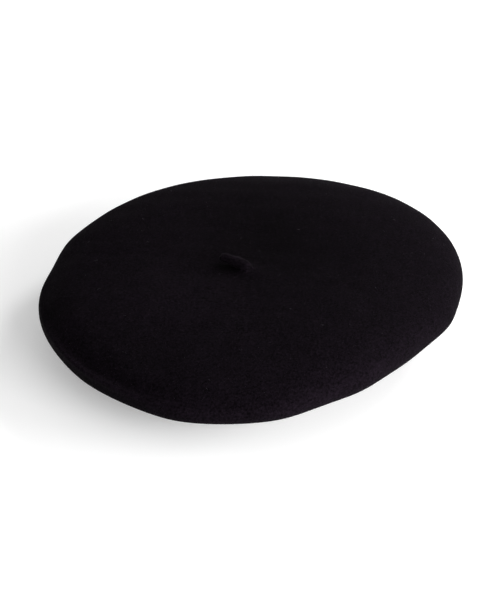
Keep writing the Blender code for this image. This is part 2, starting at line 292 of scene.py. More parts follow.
def painted_light_and_shade(points, moved):
    """The painted light and shade at points of the round hat, given where they have moved to."""
    from_stalk = moved - np.array([opening_centre.x, opening_centre.y, 0.0])
    light = 1.0 + spread_patches(from_stalk, painted_light_patches)
    for heading, spread, level, reach, lighter in painted_rim_light:
        light += lighter * at_rim(points, heading, spread) * hump(points[:, 2] - mm(level), mm(reach))
    return light


def store_painted_light(piece, light):
    """Keeps the painted light and shade on a piece, one value for each of its points, for the wool to
    read.
    """
    painted_layer = piece.data.attributes.new("painted_light_factor", "FLOAT", "POINT")
    painted_layer.data.foreach_set("value", light.astype(np.float32))


def read_points(piece):
    points = np.empty(len(piece.data.vertices) * 3)
    piece.data.vertices.foreach_get("co", points)
    return points.reshape(-1, 3)


def write_points(piece, points):
    piece.data.vertices.foreach_set("co", np.asarray(points, np.float32).ravel())
    piece.data.update()


def turn_up(name, line, around):
    """Draws a circle and extrudes it ring by ring along a line of (radius, height) pairs."""
    select_none()
    (first_radius, first_height), rest = line[0], line[1:]
    bpy.ops.mesh.primitive_circle_add(vertices=around, radius=first_radius,
                                      location=(0.0, 0.0, first_height))
    piece = bpy.context.object
    piece.name = piece.data.name = name
    bpy.ops.object.transform_apply(location=True, rotation=True, scale=True)
    bpy.ops.object.mode_set(mode="EDIT")
    bpy.ops.mesh.select_all(action="SELECT")
    radius, height = first_radius, first_height
    for next_radius, next_height in rest:
        bpy.ops.mesh.extrude_region_move(
            TRANSFORM_OT_translate={"value": (0.0, 0.0, next_height - height)})
        grow = next_radius / radius
        bpy.ops.transform.resize(value=(grow, grow, 1.0), center_override=(0.0, 0.0, 0.0))
        radius, height = next_radius, next_height
    bpy.ops.mesh.select_all(action="SELECT")
    bpy.ops.mesh.normals_make_consistent(inside=False)
    bpy.ops.object.mode_set(mode="OBJECT")
    return piece


def face_out(piece):
    """Turns the faces over where the outermost one looks towards the hat's axis."""
    widest = max(piece.data.polygons, key=lambda face: face.center.xy.length)
    if widest.normal.xy.dot(widest.center.xy) < 0:
        piece.data.flip_normals()


def apply_modifier(piece, kind, settings):
    modifier = piece.modifiers.new(kind.lower(), kind)
    for name, value in settings.items():
        setattr(modifier, name, value)
    select_none()
    piece.select_set(True)
    bpy.context.view_layer.objects.active = piece
    bpy.ops.object.modifier_apply(modifier=modifier.name)


cup_radius = mm(3.1)
cup_reach = math.radians(62.0)
cup_line = []
for share in (0.35, 0.57, 0.78, 1.0):
    cup_turn = cup_reach * share
    cup_line.append([cup_radius * math.sin(cup_turn), stalk_foot.z - cup_radius * math.cos(cup_turn)])
lip = [cup_line[-1][0] + mm(0.9), cup_line[-1][1] + mm(0.75)]
pucker_line = curve(lip, (lip[0] + mm(1.6), lip[1] + mm(0.1)), (mm(7.5), crown_height + mm(0.1)),
                    (mm(14.0), crown_height), 9)
outer_line = (cup_line + pucker_line + [point for point in top_line if point[0] > mm(15.0)]
              + under_line[1:] + band_line[1:] + [[band_radius, mm(1.0)], [band_radius, 0.0]])
felt = turn_up("felt_shell", outer_line, 144)
face_out(felt)
round_points = read_points(felt)
settled_points = settle(round_points, drape(round_points))
write_points(felt, settled_points)
# The felt's colour carries painted light and shade, made lighter or darker where the lamps fall.
store_painted_light(felt, painted_light_and_shade(round_points, settled_points))

apply_modifier(felt, "SOLIDIFY", {"thickness": felt_thickness, "offset": -1.0, "use_even_offset": True})
apply_modifier(felt, "SUBSURF", {"levels": 1, "render_levels": 1})
points = read_points(felt)
points[:, 2] = np.maximum(points[:, 2], 0.0)
write_points(felt, points)
felt.data.shade_smooth()

wool, wool_output = new_material("fulled_black_merino")
where = add_node(wool, "ShaderNodeTexCoord")
mottle = add_node(wool, "ShaderNodeTexNoise", {"Scale": 1 / mm(9.0), "Detail": 4.0, "Roughness": 0.6},
                  {"Vector": (where, "Object")})
matted = add_node(wool, "ShaderNodeTexNoise", {
    "Scale": 1 / mm(1.2), "Detail": 3.0, "Roughness": 0.8, "Distortion": 0.6},
    {"Vector": (where, "Object")})
wool_depth = add_node(wool, "ShaderNodeMix", {"data_type": "FLOAT", "Factor": 0.12})
wool.node_tree.links.new(matted.outputs["Fac"], wool_depth.inputs[2])
wool.node_tree.links.new(mottle.outputs["Fac"], wool_depth.inputs[3])
wool_colour = add_node(wool, "ShaderNodeValToRGB", {}, {"Fac": (wool_depth, 0)})
wool_colour.color_ramp.elements[0].position = 0.40
wool_colour.color_ramp.elements[0].color = linear("020102")
wool_colour.color_ramp.elements[1].position = 0.62
wool_colour.color_ramp.elements[1].color = linear("110C12")
wool_bump = add_node(wool, "ShaderNodeBump", {"Strength": 0.7, "Distance": mm(0.5)},
                     {"Height": (wool_depth, 0)})
# The wool's colour is multiplied by the painted light and shade that each piece keeps.
wool_painted_light = add_node(wool, "ShaderNodeAttribute", {"attribute_name": "painted_light_factor"})
wool_painted_colour = add_node(wool, "ShaderNodeVectorMath", {"operation": "SCALE"},
                        {"Scale": (wool_painted_light, "Fac")})
wool.node_tree.links.new(wool_colour.outputs["Color"], wool_painted_colour.inputs[0])
wool_shader = add_node(wool, "ShaderNodeBsdfPrincipled", {
    "Roughness": 1.0, "Specular IOR Level": 0.03, "Sheen Weight": 0.016, "Sheen Roughness": 0.25,
    "Sheen Tint": linear("B8A8BC")},
    {"Base Color": (wool_painted_colour, "Vector"), "Normal": (wool_bump, "Normal")})
finish_material(wool, wool_output, wool_shader)
felt.data.materials.append(wool)
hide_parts("felt_crown")
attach(felt, "crown")


# --- Nap and lint ------------------------------------------------------------------------------
# Merino fibres that the milling has left standing from the felt, about a millimetre long. A real
# one is 0.02 mm thick, too fine to show, so they are drawn three to five times as thick. Some pale
# lint has settled on the top, as it does on any black hat.

def model_fibre():
    """One tapering fibre of unit length along +X, rooted at the origin."""
    select_none()
    bpy.ops.mesh.primitive_cone_add(vertices=3, radius1=1.0, radius2=0.0, depth=1.0,
                                    location=(0.5, 0.0, 0.0), rotation=(0.0, math.pi / 2, 0.0))
    made = bpy.context.object
    bpy.ops.object.transform_apply(location=True, rotation=True, scale=True)
    bpy.ops.object.mode_set(mode="EDIT")
    for cut in (0.33, 0.66):
        bpy.ops.mesh.select_all(action="SELECT")
        bpy.ops.mesh.bisect(plane_co=(cut, 0.0, 0.0), plane_no=(1.0, 0.0, 0.0))
    bpy.ops.mesh.select_all(action="SELECT")
    bpy.ops.mesh.quads_convert_to_tris()
    bpy.ops.object.mode_set(mode="OBJECT")
    return made


def lay_copies(name, model, starts, legs, ups, thickness, curls, material):
    """Copies a model of unit length into one mesh, each copy along its own leg, then drops the model."""
    shape = read_points(model)
    run, wide, high = shape[None, :, 0], shape[None, :, 1], shape[None, :, 2]
    lengths = np.linalg.norm(legs, axis=1)[:, None]
    along = legs / lengths
    across = np.cross(ups, along)
    across /= np.linalg.norm(across, axis=1)[:, None]
    above = np.cross(along, across)
    thick = np.broadcast_to(thickness, len(starts))[:, None]
    sideways = lengths * np.broadcast_to(curls, len(starts))[:, None] * run ** 2 + thick * wide
    points = (starts[:, None] + legs[:, None] * run[..., None] + across[:, None] * sideways[..., None]
              + above[:, None] * (thick * high)[..., None])
    corners = [list(face.vertices) for face in model.data.polygons]
    faces = [[corner + copy * len(shape) for corner in face]
             for copy in range(len(starts)) for face in corners]
    mesh = bpy.data.meshes.new(name)
    mesh.from_pydata(points.reshape(-1, 3).tolist(), [], faces)
    mesh.materials.append(material)
    mesh.shade_smooth()
    piece = bpy.data.objects.new(name, mesh)
    bpy.context.scene.collection.objects.link(piece)
    bpy.data.objects.remove(model, do_unlink=True)
    return piece


def points_on(piece, count, chance, keep):
    """Seeded points spread evenly over the faces that are kept, with the faces' normals."""
    piece.data.calc_loop_triangles()
    vertices = read_points(piece)
    corners = np.array([list(triangle.vertices) for triangle in piece.data.loop_triangles])
    a, b, c = (vertices[corners[:, i]] for i in range(3))
    normals = np.cross(b - a, c - a)
    areas = np.linalg.norm(normals, axis=1) * keep((a + b + c) / 3, normals)
    picks = chance.choice(len(areas), count, p=areas / areas.sum())
    u, v = chance.random(count), chance.random(count)
    over = u + v > 1
    u[over], v[over] = 1 - u[over], 1 - v[over]
    spots = a[picks] + (b - a)[picks] * u[:, None] + (c - a)[picks] * v[:, None]
    return spots, normals[picks] / np.linalg.norm(normals[picks], axis=1)[:, None]


def sideways_on(ups, chance):
    """A random direction of unit length along the surface for each normal."""
    side = chance.normal(size=ups.shape)
    side -= ups * (side * ups).sum(1)[:, None]
    return side / np.linalg.norm(side, axis=1)[:, None]


stalk_axis = Vector(joints["stalk_bend"]["axis"])
stalk_heading = math.atan2(stalk_axis.x, -stalk_axis.y)
collar_reach = mm(9.0)
swept_reach = mm(21.0)
half_fan = math.radians(45.0)
shell_middle = np.array([opening_centre.x, opening_centre.y, mm(24.0)])
bare_edge = mm(3.0)
lint_level = mm(34.0)


def clear_of_stalk(middles):
    """Leaves out the fan of felt that the stalk sweeps over, where its rubbing keeps the nap down."""
    away = middles[:, :2] - np.array([opening_centre.x, opening_centre.y])
    reach = np.hypot(away[:, 0], away[:, 1])
    turn = turn_between(np.arctan2(away[:, 1], away[:, 0]), math.degrees(stalk_heading))
    return (reach > swept_reach) | (reach > collar_reach) & (np.abs(turn) > half_fan)


def outer_skin(middles, normals):
    """Keeps the outside of the felt above its raw edge: it faces away from the middle of the hat."""
    outwards = ((middles - shell_middle) * normals).sum(1) > 0
    return outwards & (middles[:, 2] > bare_edge) & clear_of_stalk(middles)


def top_skin(middles, normals):
    """Keeps the top of the felt, where lint falls and stays."""
    return (normals[:, 2] > 0) & (middles[:, 2] > lint_level) & clear_of_stalk(middles)


# The standing fibres are coloured lighter than the black felt: a painted sheen for the light they catch.
standing_wool, standing_output = new_material("standing_merino_fibre")
standing_shader = add_node(standing_wool, "ShaderNodeBsdfPrincipled", {
    "Base Color": linear("241D25"), "Roughness": 0.8, "Specular IOR Level": 0.15})
finish_material(standing_wool, standing_output, standing_shader)
nap_chance = np.random.default_rng(57)
nap_count = 11500
spots, ups = points_on(felt, nap_count, nap_chance, outer_skin)
legs = sideways_on(ups, nap_chance) + ups * nap_chance.uniform(0.1, 0.6, nap_count)[:, None]
legs *= nap_chance.uniform(mm(0.6), mm(1.7), nap_count)[:, None]
nap = lay_copies("felt_nap", model_fibre(), spots - ups * mm(0.05), legs, ups,
                 nap_chance.uniform(mm(0.03), mm(0.05), nap_count),
                 nap_chance.uniform(-0.6, 0.6, nap_count), standing_wool)
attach(nap, "crown")

pale_lint, lint_output = new_material("pale_cotton_lint")
lint_shader = add_node(pale_lint, "ShaderNodeBsdfPrincipled", {
    "Base Color": linear("5E5860"), "Roughness": 0.9, "Specular IOR Level": 0.2})
finish_material(pale_lint, lint_output, lint_shader)
lint_count = 60
spots, ups = points_on(felt, lint_count, nap_chance, top_skin)
legs = sideways_on(ups, nap_chance) * nap_chance.uniform(mm(0.6), mm(2.6), lint_count)[:, None]
lint = lay_copies("lint_fibres", model_fibre(), spots + ups * mm(0.08), legs + ups * mm(0.1), ups,
                  nap_chance.uniform(mm(0.03), mm(0.06), lint_count),
                  nap_chance.uniform(-0.9, 0.9, lint_count), pale_lint)
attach(lint, "crown")


# --- Stalk -------------------------------------------------------------------------------------
# The short tail of wool left where the knitting of a beret ends. Fulled with the crown, it is a
# soft stub of the same felt, pinched and slightly twisted, that grows out of a drawn-up collar and
# lies over to the back and left.

stalk_length = mm(18.0)
stalk_rise = math.radians(17.0)


def pick(piece, level, test):
    """Opens a piece in edit mode with only the vertices or the faces that pass a test selected."""
    select_none()
    piece.select_set(True)
    bpy.context.view_layer.objects.active = piece
    bpy.ops.object.mode_set(mode="EDIT")
    bpy.ops.mesh.select_mode(type=level)
    bpy.ops.mesh.select_all(action="DESELECT")
    bpy.ops.object.mode_set(mode="OBJECT")
    for item in piece.data.vertices if level == "VERT" else piece.data.polygons:
        item.select = test(item)
    bpy.ops.object.mode_set(mode="EDIT")


def close_ends(piece):
    """Fills the open rings at both ends of a turned piece."""
    heights = [vertex.co.z for vertex in piece.data.vertices]
    for end in (min(heights), max(heights)):
        pick(piece, "VERT", lambda vertex: abs(vertex.co.z - end) < mm(0.001))
        bpy.ops.mesh.edge_face_add()
    bpy.ops.mesh.select_all(action="SELECT")
    bpy.ops.mesh.normals_make_consistent(inside=False)
    bpy.ops.object.mode_set(mode="OBJECT")


# The collar's reach from the stalk's foot and its rise over it, in mm, from the socket outwards.
collar_steps = ((2.2, -1.9), (2.6, -0.9), (3.1, 0.1), (3.7, 0.15), (4.5, -0.7), (5.6, -1.4),
                (7.0, -1.8), (9.0, -2.1))
collar_line = [[mm(reach), stalk_foot.z + mm(rise)] for reach, rise in collar_steps]
collar = turn_up("stalk_collar", collar_line, 36)
if collar.data.polygons[-1].normal.z < 0:
    collar.data.flip_normals()
apply_modifier(collar, "SOLIDIFY", {"thickness": mm(0.8), "offset": -1.0})
apply_modifier(collar, "SUBSURF", {"levels": 1, "render_levels": 1})
points = read_points(collar)
angle = np.arctan2(points[:, 1], points[:, 0])
reach = np.hypot(points[:, 0], points[:, 1])
# The wool is drawn up round the stalk, so the collar puckers. Pleats, where they start in radians,
# their height, distance from the stalk and width in mm.
for pleats, start, pleat_mm, where_mm, width_mm in ((5, 0.7, 0.25, 4.4, 1.6), (9, 2.0, 0.16, 4.8, 1.8)):
    pleat = np.cos(pleats * angle + start) * hump(reach - mm(where_mm), mm(width_mm))
    points[:, 2] += mm(pleat_mm) * pleat
points[:, :2] += np.array([opening_centre.x, opening_centre.y])
write_points(collar, points)
collar.data.shade_smooth()
# The collar carries no painted light or shade.
store_painted_light(collar, np.ones(len(points)))
collar.data.materials.append(wool)
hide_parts("stalk_root")
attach(collar, "stalk_root")

foot_line = curve((mm(0.6), mm(-2.8)), (mm(3.2), mm(-2.9)), (mm(3.6), mm(-0.8)), (mm(3.7), mm(1.5)), 6)
shaft_line = curve((mm(3.7), mm(1.5)), (mm(3.8), mm(5.0)), (mm(3.3), mm(8.0)), (mm(2.9), mm(14.0)), 10)
tip_line = curve((mm(2.9), mm(14.0)), (mm(2.8), mm(16.8)),
                 (mm(2.1), stalk_length), (mm(0.5), stalk_length), 5)
stub = turn_up("stalk_stub", foot_line + shaft_line[1:] + tip_line[1:], 24)
close_ends(stub)
apply_modifier(stub, "SUBSURF", {"levels": 1, "render_levels": 1})
points = read_points(stub)
angle = np.arctan2(points[:, 1], points[:, 0])
share = np.clip(points[:, 2] / stalk_length, 0.0, 1.0)
# Pinched by hand while wet: it is oval and three-sided by turns along its length, and finely ringed.
swell = 1 + share * (0.10 * np.cos(2 * angle + 3.0 * share) + 0.06 * np.cos(3 * angle - 5.0 * share))
swell += 0.05 * np.sin(points[:, 2] / mm(1.15) + 2 * angle) * share
points[:, 0] *= swell
points[:, 1] *= swell * 1.12
points[:, 0] += mm(3.0) * share ** 2
points[:, 1] += mm(1.0) * np.sin(2.6 * share) * share
lay_over = (Matrix.Translation(stalk_foot) @ Matrix.Rotation(stalk_heading, 4, "Z")
            @ Matrix.Rotation(math.pi / 2 - stalk_rise, 4, "Y"))
write_points(stub, [lay_over @ Vector(point) for point in points])
stub.data.shade_smooth()
# The stub carries no painted light or shade.
store_painted_light(stub, np.ones(len(points)))
stub.data.materials.append(wool)
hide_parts("stalk")
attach(stub, "stalk")

stub_nap_count = 260


def stub_skin(middles, normals):
    """Keeps the stub's upper side away from its foot: below it the nap is pressed flat."""
    away = np.linalg.norm(middles - np.array(stalk_foot), axis=1)
    return (away > mm(6)) & (normals[:, 2] > 0)


spots, ups = points_on(stub, stub_nap_count, nap_chance, stub_skin)
legs = sideways_on(ups, nap_chance) + ups * nap_chance.uniform(0.2, 0.9, stub_nap_count)[:, None]
legs *= nap_chance.uniform(mm(0.5), mm(1.3), stub_nap_count)[:, None]
stub_nap = lay_copies("stalk_nap", model_fibre(), spots - ups * mm(0.05), legs, ups, mm(0.035),
                      nap_chance.uniform(-0.6, 0.6, stub_nap_count), standing_wool)
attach(stub_nap, "stalk")


# --- Stalk tack --------------------------------------------------------------------------------
# A few turns of black cotton that tie the stalk down from inside the crown. The knot sits between
# the felt and the lining, and only an unpicked lining would show it.

cotton, cotton_output = new_material("spun_black_cotton")
where = add_node(cotton, "ShaderNodeTexCoord")
cotton_ply = add_node(cotton, "ShaderNodeTexNoise",
                      {"Scale": 1 / mm(0.35), "Detail": 3.0, "Roughness": 0.6},
                      {"Vector": (where, "Object")})
cotton_colour = add_node(cotton, "ShaderNodeValToRGB", {}, {"Fac": (cotton_ply, "Fac")})
cotton_colour.color_ramp.elements[0].position = 0.35
cotton_colour.color_ramp.elements[0].color = linear("161417")
cotton_colour.color_ramp.elements[1].position = 0.65
cotton_colour.color_ramp.elements[1].color = linear("2B282D")
cotton_bump = add_node(cotton, "ShaderNodeBump", {"Strength": 0.5, "Distance": mm(0.1)},
                       {"Height": (cotton_ply, "Fac")})
cotton_shader = add_node(cotton, "ShaderNodeBsdfPrincipled", {
    "Roughness": 0.8, "Specular IOR Level": 0.25, "Sheen Weight": 0.1},
    {"Base Color": (cotton_colour, "Color"), "Normal": (cotton_bump, "Normal")})
finish_material(cotton, cotton_output, cotton_shader)
frame["nodes"]["stalk_tack"].data.materials.clear()
frame["nodes"]["stalk_tack"].data.materials.append(cotton)


# --- Satin lining ------------------------------------------------------------------------------
# Black polyester satin: a disc under the top and a gathered strip round the side, seamed inside
# the rim. The disc is cut a little large, so it hangs down from the felt in shallow swags.

lining_depth = felt_thickness + mm(0.4)
lining_thickness = mm(0.4)
# The scale of a wave texture is this over the length of one wave.
wave_unit = math.pi / 10
satin, satin_output = new_material("polyester_satin")
where = add_node(satin, "ShaderNodeTexCoord")
# Satin floats are 0.1 mm wide; they are drawn at 0.5 mm so that the weave shows.
satin_floats = add_node(satin, "ShaderNodeTexWave", {
    "wave_type": "BANDS", "bands_direction": "X", "Scale": wave_unit / mm(0.5),
    "Distortion": 1.5, "Detail": 2.0},
    {"Vector": (where, "Object")})
satin_slub = add_node(satin, "ShaderNodeTexNoise", {"Scale": 1 / mm(14.0), "Detail": 3.0},
                      {"Vector": (where, "Object")})
satin_colour = add_node(satin, "ShaderNodeValToRGB", {}, {"Fac": (satin_slub, "Fac")})
satin_colour.color_ramp.elements[0].position = 0.3
satin_colour.color_ramp.elements[0].color = linear("17151A")
satin_colour.color_ramp.elements[1].position = 0.7
satin_colour.color_ramp.elements[1].color = linear("232027")
satin_bump = add_node(satin, "ShaderNodeBump", {"Strength": 0.25, "Distance": mm(0.05)},
                      {"Height": (satin_floats, "Fac")})
satin_shader = add_node(satin, "ShaderNodeBsdfPrincipled", {
    "Roughness": 0.34, "Specular IOR Level": 0.5, "Sheen Weight": 0.15, "Sheen Roughness": 0.3},
    {"Base Color": (satin_colour, "Color"), "Normal": (satin_bump, "Normal")})
finish_material(satin, satin_output, satin_shader)


def sink_in(piece, depth):
    """Moves a sheet inwards along its own normals."""
    normals = np.array([list(vertex.normal) for vertex in piece.data.vertices])
    write_points(piece, read_points(piece) - normals * depth)


lining_line = curve((mm(2.0), crown_height), (0.55 * rim_radius, crown_height),
                    (rim_radius, rim_height + mm(19.1)), (rim_radius, rim_height), 33)[:31]
# The disc bellies down in the middle, clear of the knot under the stalk.
belly = mm(3.5)
lining_line = [[reach, height - belly * (1 - (reach / rim_radius) ** 2) ** 2]
               for reach, height in lining_line]
lining = turn_up("lining_top_satin", lining_line, 120)
pick(lining, "VERT", lambda vertex: vertex.co.xy.length < mm(2.5))
bpy.ops.mesh.edge_face_add()
bpy.ops.mesh.poke()
bpy.ops.mesh.select_all(action="SELECT")
bpy.ops.mesh.normals_make_consistent(inside=False)
bpy.ops.object.mode_set(mode="OBJECT")
face_out(lining)
round_points = read_points(lining)
write_points(lining, settle(round_points, drape(round_points)))
sink_in(lining, lining_depth)
lining.data.update()
seam_edge = round_points[:, 2] < lining_line[-1][1] + mm(0.01)
seam_points = read_points(lining)[seam_edge]
seam_normals = np.array([list(vertex.normal) for vertex in lining.data.vertices])[seam_edge]
from_centre = seam_points - np.array(opening_centre)
in_turn = np.argsort(np.arctan2(from_centre[:, 1], from_centre[:, 0]))
seam_points, seam_normals = seam_points[in_turn], seam_normals[in_turn]

hung = read_points(lining)
pins = lining.vertex_groups.new(name="sewn_edge")
pins.add([int(index) for index in np.nonzero(seam_edge)[0]], 1.0, "REPLACE")
cloth = lining.modifiers.new("satin_hang", "CLOTH")
cloth.settings.vertex_group_mass = "sewn_edge"
cloth.settings.mass = 0.02
cloth.settings.quality = 5
cloth.settings.tension_stiffness = cloth.settings.compression_stiffness = 12.0
cloth.settings.bending_stiffness = 0.005
cloth.settings.shrink_min = -0.03
cloth.point_cache.frame_start = 1
cloth.point_cache.frame_end = 24
for frame_number in range(1, 25):
    bpy.context.scene.frame_set(frame_number)
select_none()
lining.select_set(True)
bpy.context.view_layer.objects.active = lining
bpy.ops.object.modifier_apply(modifier="satin_hang")
bpy.context.scene.frame_set(1)
# The swags only go down, and none hangs lower than this, or it would reach the head.
most_sag = mm(6.0)
moved = read_points(lining) - hung
moved[:, 2] = np.minimum(moved[:, 2], 0.0)
far = np.maximum(np.linalg.norm(moved, axis=1) / most_sag, 1.0)[:, None]
write_points(lining, hung + moved / far)
lining.vertex_groups.clear()
apply_modifier(lining, "SOLIDIFY", {"thickness": lining_thickness, "offset": -1.0})
lining.data.shade_smooth()
lining.data.materials.append(satin)
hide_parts("lining_top")
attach(lining, "crown")

strip_line = under_line[1:] + band_line[1:]
side_lining = turn_up("lining_side_satin", strip_line, 216)
face_out(side_lining)
round_points = read_points(side_lining)
write_points(side_lining, settle(round_points, drape(round_points)))
sink_in(side_lining, lining_depth)
points = read_points(side_lining)
angle = np.arctan2(round_points[:, 1], round_points[:, 0])
down = np.clip((rim_height - round_points[:, 2]) / (rim_height - band_height), 0.0, 1.0)
between = np.clip((round_points[:, 2] - band_height) / mm(5), 0.0, 1.0)
gathers = 36
gather_height = mm(1.1)
gather = (0.5 + 0.5 * np.cos(gathers * angle + 1.5 * np.sin(5 * angle))) * down * between
points[:, 2] += gather_height * gather
write_points(side_lining, points)
apply_modifier(side_lining, "SOLIDIFY", {"thickness": lining_thickness, "offset": -1.0})
side_lining.data.shade_smooth()
side_lining.data.materials.append(satin)
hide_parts("lining_side")
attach(side_lining, "crown")


def model_stitch():
    """One lockstitch of unit length along +X: a thread that rises from a hole and dives into the next."""
    select_none()
    bpy.ops.mesh.primitive_cylinder_add(vertices=6, radius=1.0, depth=1.0, location=(0.5, 0.0, 0.0),
                                        rotation=(0.0, math.pi / 2, 0.0))
    made = bpy.context.object
    bpy.ops.object.transform_apply(location=True, rotation=True, scale=True)
    bpy.ops.object.mode_set(mode="EDIT")
    for cut in (0.1, 0.3, 0.5, 0.7, 0.9):
        bpy.ops.mesh.select_all(action="SELECT")
        bpy.ops.mesh.bisect(plane_co=(cut, 0.0, 0.0), plane_no=(1.0, 0.0, 0.0))
    bpy.ops.object.mode_set(mode="OBJECT")
    points = read_points(made)
    from_middle = 2 * points[:, 0] - 1
    points[:, 1:] *= (1 - 0.3 * from_middle ** 6)[:, None]
    points[:, 2] -= 1.6 * from_middle ** 4
    write_points(made, points)
    return made


def along_seam(points, ups, pitch, closed=True):
    """Starts, legs and ups of even stitches along a line of points."""
    if closed:
        points, ups = np.vstack([points, points[:1]]), np.vstack([ups, ups[:1]])
    run = np.append(0.0, np.cumsum(np.linalg.norm(np.diff(points, axis=0), axis=1)))
    marks = np.linspace(0.0, run[-1], round(run[-1] / pitch) + 1)
    spots = np.column_stack([np.interp(marks, run, points[:, axis]) for axis in range(3)])
    rises = np.column_stack([np.interp(marks, run, ups[:, axis]) for axis in range(3)])
    return spots[:-1], np.diff(spots, axis=0), rises[:-1]


stitch_share = 0.84
seam_thread = mm(0.3)
inside_seam = seam_points - seam_normals * (lining_thickness + mm(0.3) + seam_thread)
starts, legs, ups = along_seam(inside_seam, -seam_normals, mm(2.8))
seam = lay_copies("lining_seam_stitches", model_stitch(), starts, legs * stitch_share, ups,
                  seam_thread, 0.0, cotton)
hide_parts("lining_seam_thread")
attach(seam, "crown")


# --- Leather sweatband -------------------------------------------------------------------------
# A strip of black sheepskin, 26 mm wide and 0.9 mm thick. Its ends are butted at the back over a
# tape, and a row of lockstitches near the lower edge holds it to the felt.

sweatband_radius = mm(90.9)
leather_thickness = mm(0.9)
leather_face = sweatband_radius - leather_thickness
butt_gap = mm(0.5)
leather, leather_output = new_material("grained_sheepskin")
where = add_node(leather, "ShaderNodeTexCoord")
grain_cells = add_node(leather, "ShaderNodeTexVoronoi",
                       {"feature": "DISTANCE_TO_EDGE", "Scale": 1 / mm(0.9)},
                       {"Vector": (where, "Object")})
grain_waves = add_node(leather, "ShaderNodeTexNoise", {"Scale": 1 / mm(5.0), "Detail": 5.0},
                       {"Vector": (where, "Object")})
leather_colour = add_node(leather, "ShaderNodeValToRGB", {}, {"Fac": (grain_waves, "Fac")})
leather_colour.color_ramp.elements[0].position = 0.3
leather_colour.color_ramp.elements[0].color = linear("1A1716")
leather_colour.color_ramp.elements[1].position = 0.7
leather_colour.color_ramp.elements[1].color = linear("2A2624")
grain_creases = add_node(leather, "ShaderNodeBump", {"Strength": 0.5, "Distance": mm(0.15)},
                         {"Height": (grain_cells, "Distance")})
leather_bump = add_node(leather, "ShaderNodeBump", {"Strength": 0.3, "Distance": mm(0.4)},
                        {"Height": (grain_waves, "Fac"), "Normal": (grain_creases, "Normal")})
leather_shader = add_node(leather, "ShaderNodeBsdfPrincipled", {
    "Roughness": 0.5, "Specular IOR Level": 0.45},
    {"Base Color": (leather_colour, "Color"), "Normal": (leather_bump, "Normal")})
finish_material(leather, leather_output, leather_shader)

strip_heights = (mm(1.0), mm(2.5), mm(4.0), mm(5.5), mm(9.0), mm(14.0), mm(19.0), mm(23.0), mm(27.0))
sweatband = turn_up("sweatband_leather", [[sweatband_radius, height] for height in strip_heights], 180)
face_out(sweatband)
for side in (-1, 1):
    pick(sweatband, "FACE", lambda face: face.center.y > 0 and abs(face.center.x) < mm(3))
    bpy.ops.mesh.bisect(plane_co=(side * butt_gap / 2, 0.0, 0.0), plane_no=(1.0, 0.0, 0.0))
pick(sweatband, "FACE", lambda face: face.center.y > 0 and abs(face.center.x) < butt_gap / 2)
bpy.ops.mesh.delete(type="FACE")
bpy.ops.object.mode_set(mode="OBJECT")
round_points = read_points(sweatband)
angle = np.arctan2(round_points[:, 1], round_points[:, 0])
points = drape(round_points)
pull = mm(0.12) * hump(round_points[:, 2] - mm(4), mm(1.5))
free_edge = mm(0.45) * np.clip((round_points[:, 2] - mm(9)) / mm(18), 0, 1) ** 2
inward = pull + free_edge * (0.5 + 0.5 * np.cos(7 * angle + 0.8) * np.cos(2 * angle))
points[:, 0] -= inward * np.cos(angle)
points[:, 1] -= inward * np.sin(angle)
write_points(sweatband, points)
apply_modifier(sweatband, "SOLIDIFY", {"thickness": leather_thickness, "offset": -1.0})
apply_modifier(sweatband, "BEVEL", {"width": mm(0.22), "segments": 2, "limit_method": "ANGLE",
                                    "angle_limit": math.radians(60)})
sweatband.data.shade_smooth()
sweatband.data.materials.append(leather)
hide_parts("sweatband")
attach(sweatband, "crown")

band_thread = mm(0.25)
row_radius = leather_face - mm(0.15) - band_thread
row_height = mm(4.0)
ring = np.radians(np.arange(0, 360, 2))
inward_ring = np.column_stack([-np.cos(ring), -np.sin(ring), np.zeros(len(ring))])
row = drape(np.column_stack([row_radius * np.cos(ring), row_radius * np.sin(ring),
                             np.full(len(ring), row_height)]))
starts, legs, ups = along_seam(row, inward_ring, mm(3.0))
# A machine's lockstitches lie a little aslant.
legs[:, 2] += mm(0.25)
band_stitches = lay_copies("sweatband_stitches", model_stitch(), starts, legs * stitch_share, ups,
                           band_thread, 0.0, cotton)
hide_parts("sweatband_thread")
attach(band_stitches, "crown")

zigzag_pitch = mm(2.4)
zigzag_low, zigzag_high = (corner.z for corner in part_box("sweatband_join_thread"))
zigzag_count = round((zigzag_high - zigzag_low) / zigzag_pitch)
zigzag_reach = mm(1.2)
zigzag = []
for step in range(zigzag_count + 1):
    side = 1 if step % 2 else -1
    turn = math.radians(90) + side * zigzag_reach / row_radius
    height = zigzag_low + step * zigzag_pitch
    zigzag.append([row_radius * math.cos(turn), row_radius * math.sin(turn), height])
zigzag = drape(zigzag)
zigzag_ups = np.tile([0.0, -1.0, 0.0], (zigzag_count, 1))
butt_stitches = lay_copies("butt_join_zigzag", model_stitch(), zigzag[:-1], np.diff(zigzag, axis=0),
                           zigzag_ups, band_thread, 0.0, cotton)
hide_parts("sweatband_join_thread")
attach(butt_stitches, "crown")

tape, tape_output = new_material("woven_white_tape")
where = add_node(tape, "ShaderNodeTexCoord")
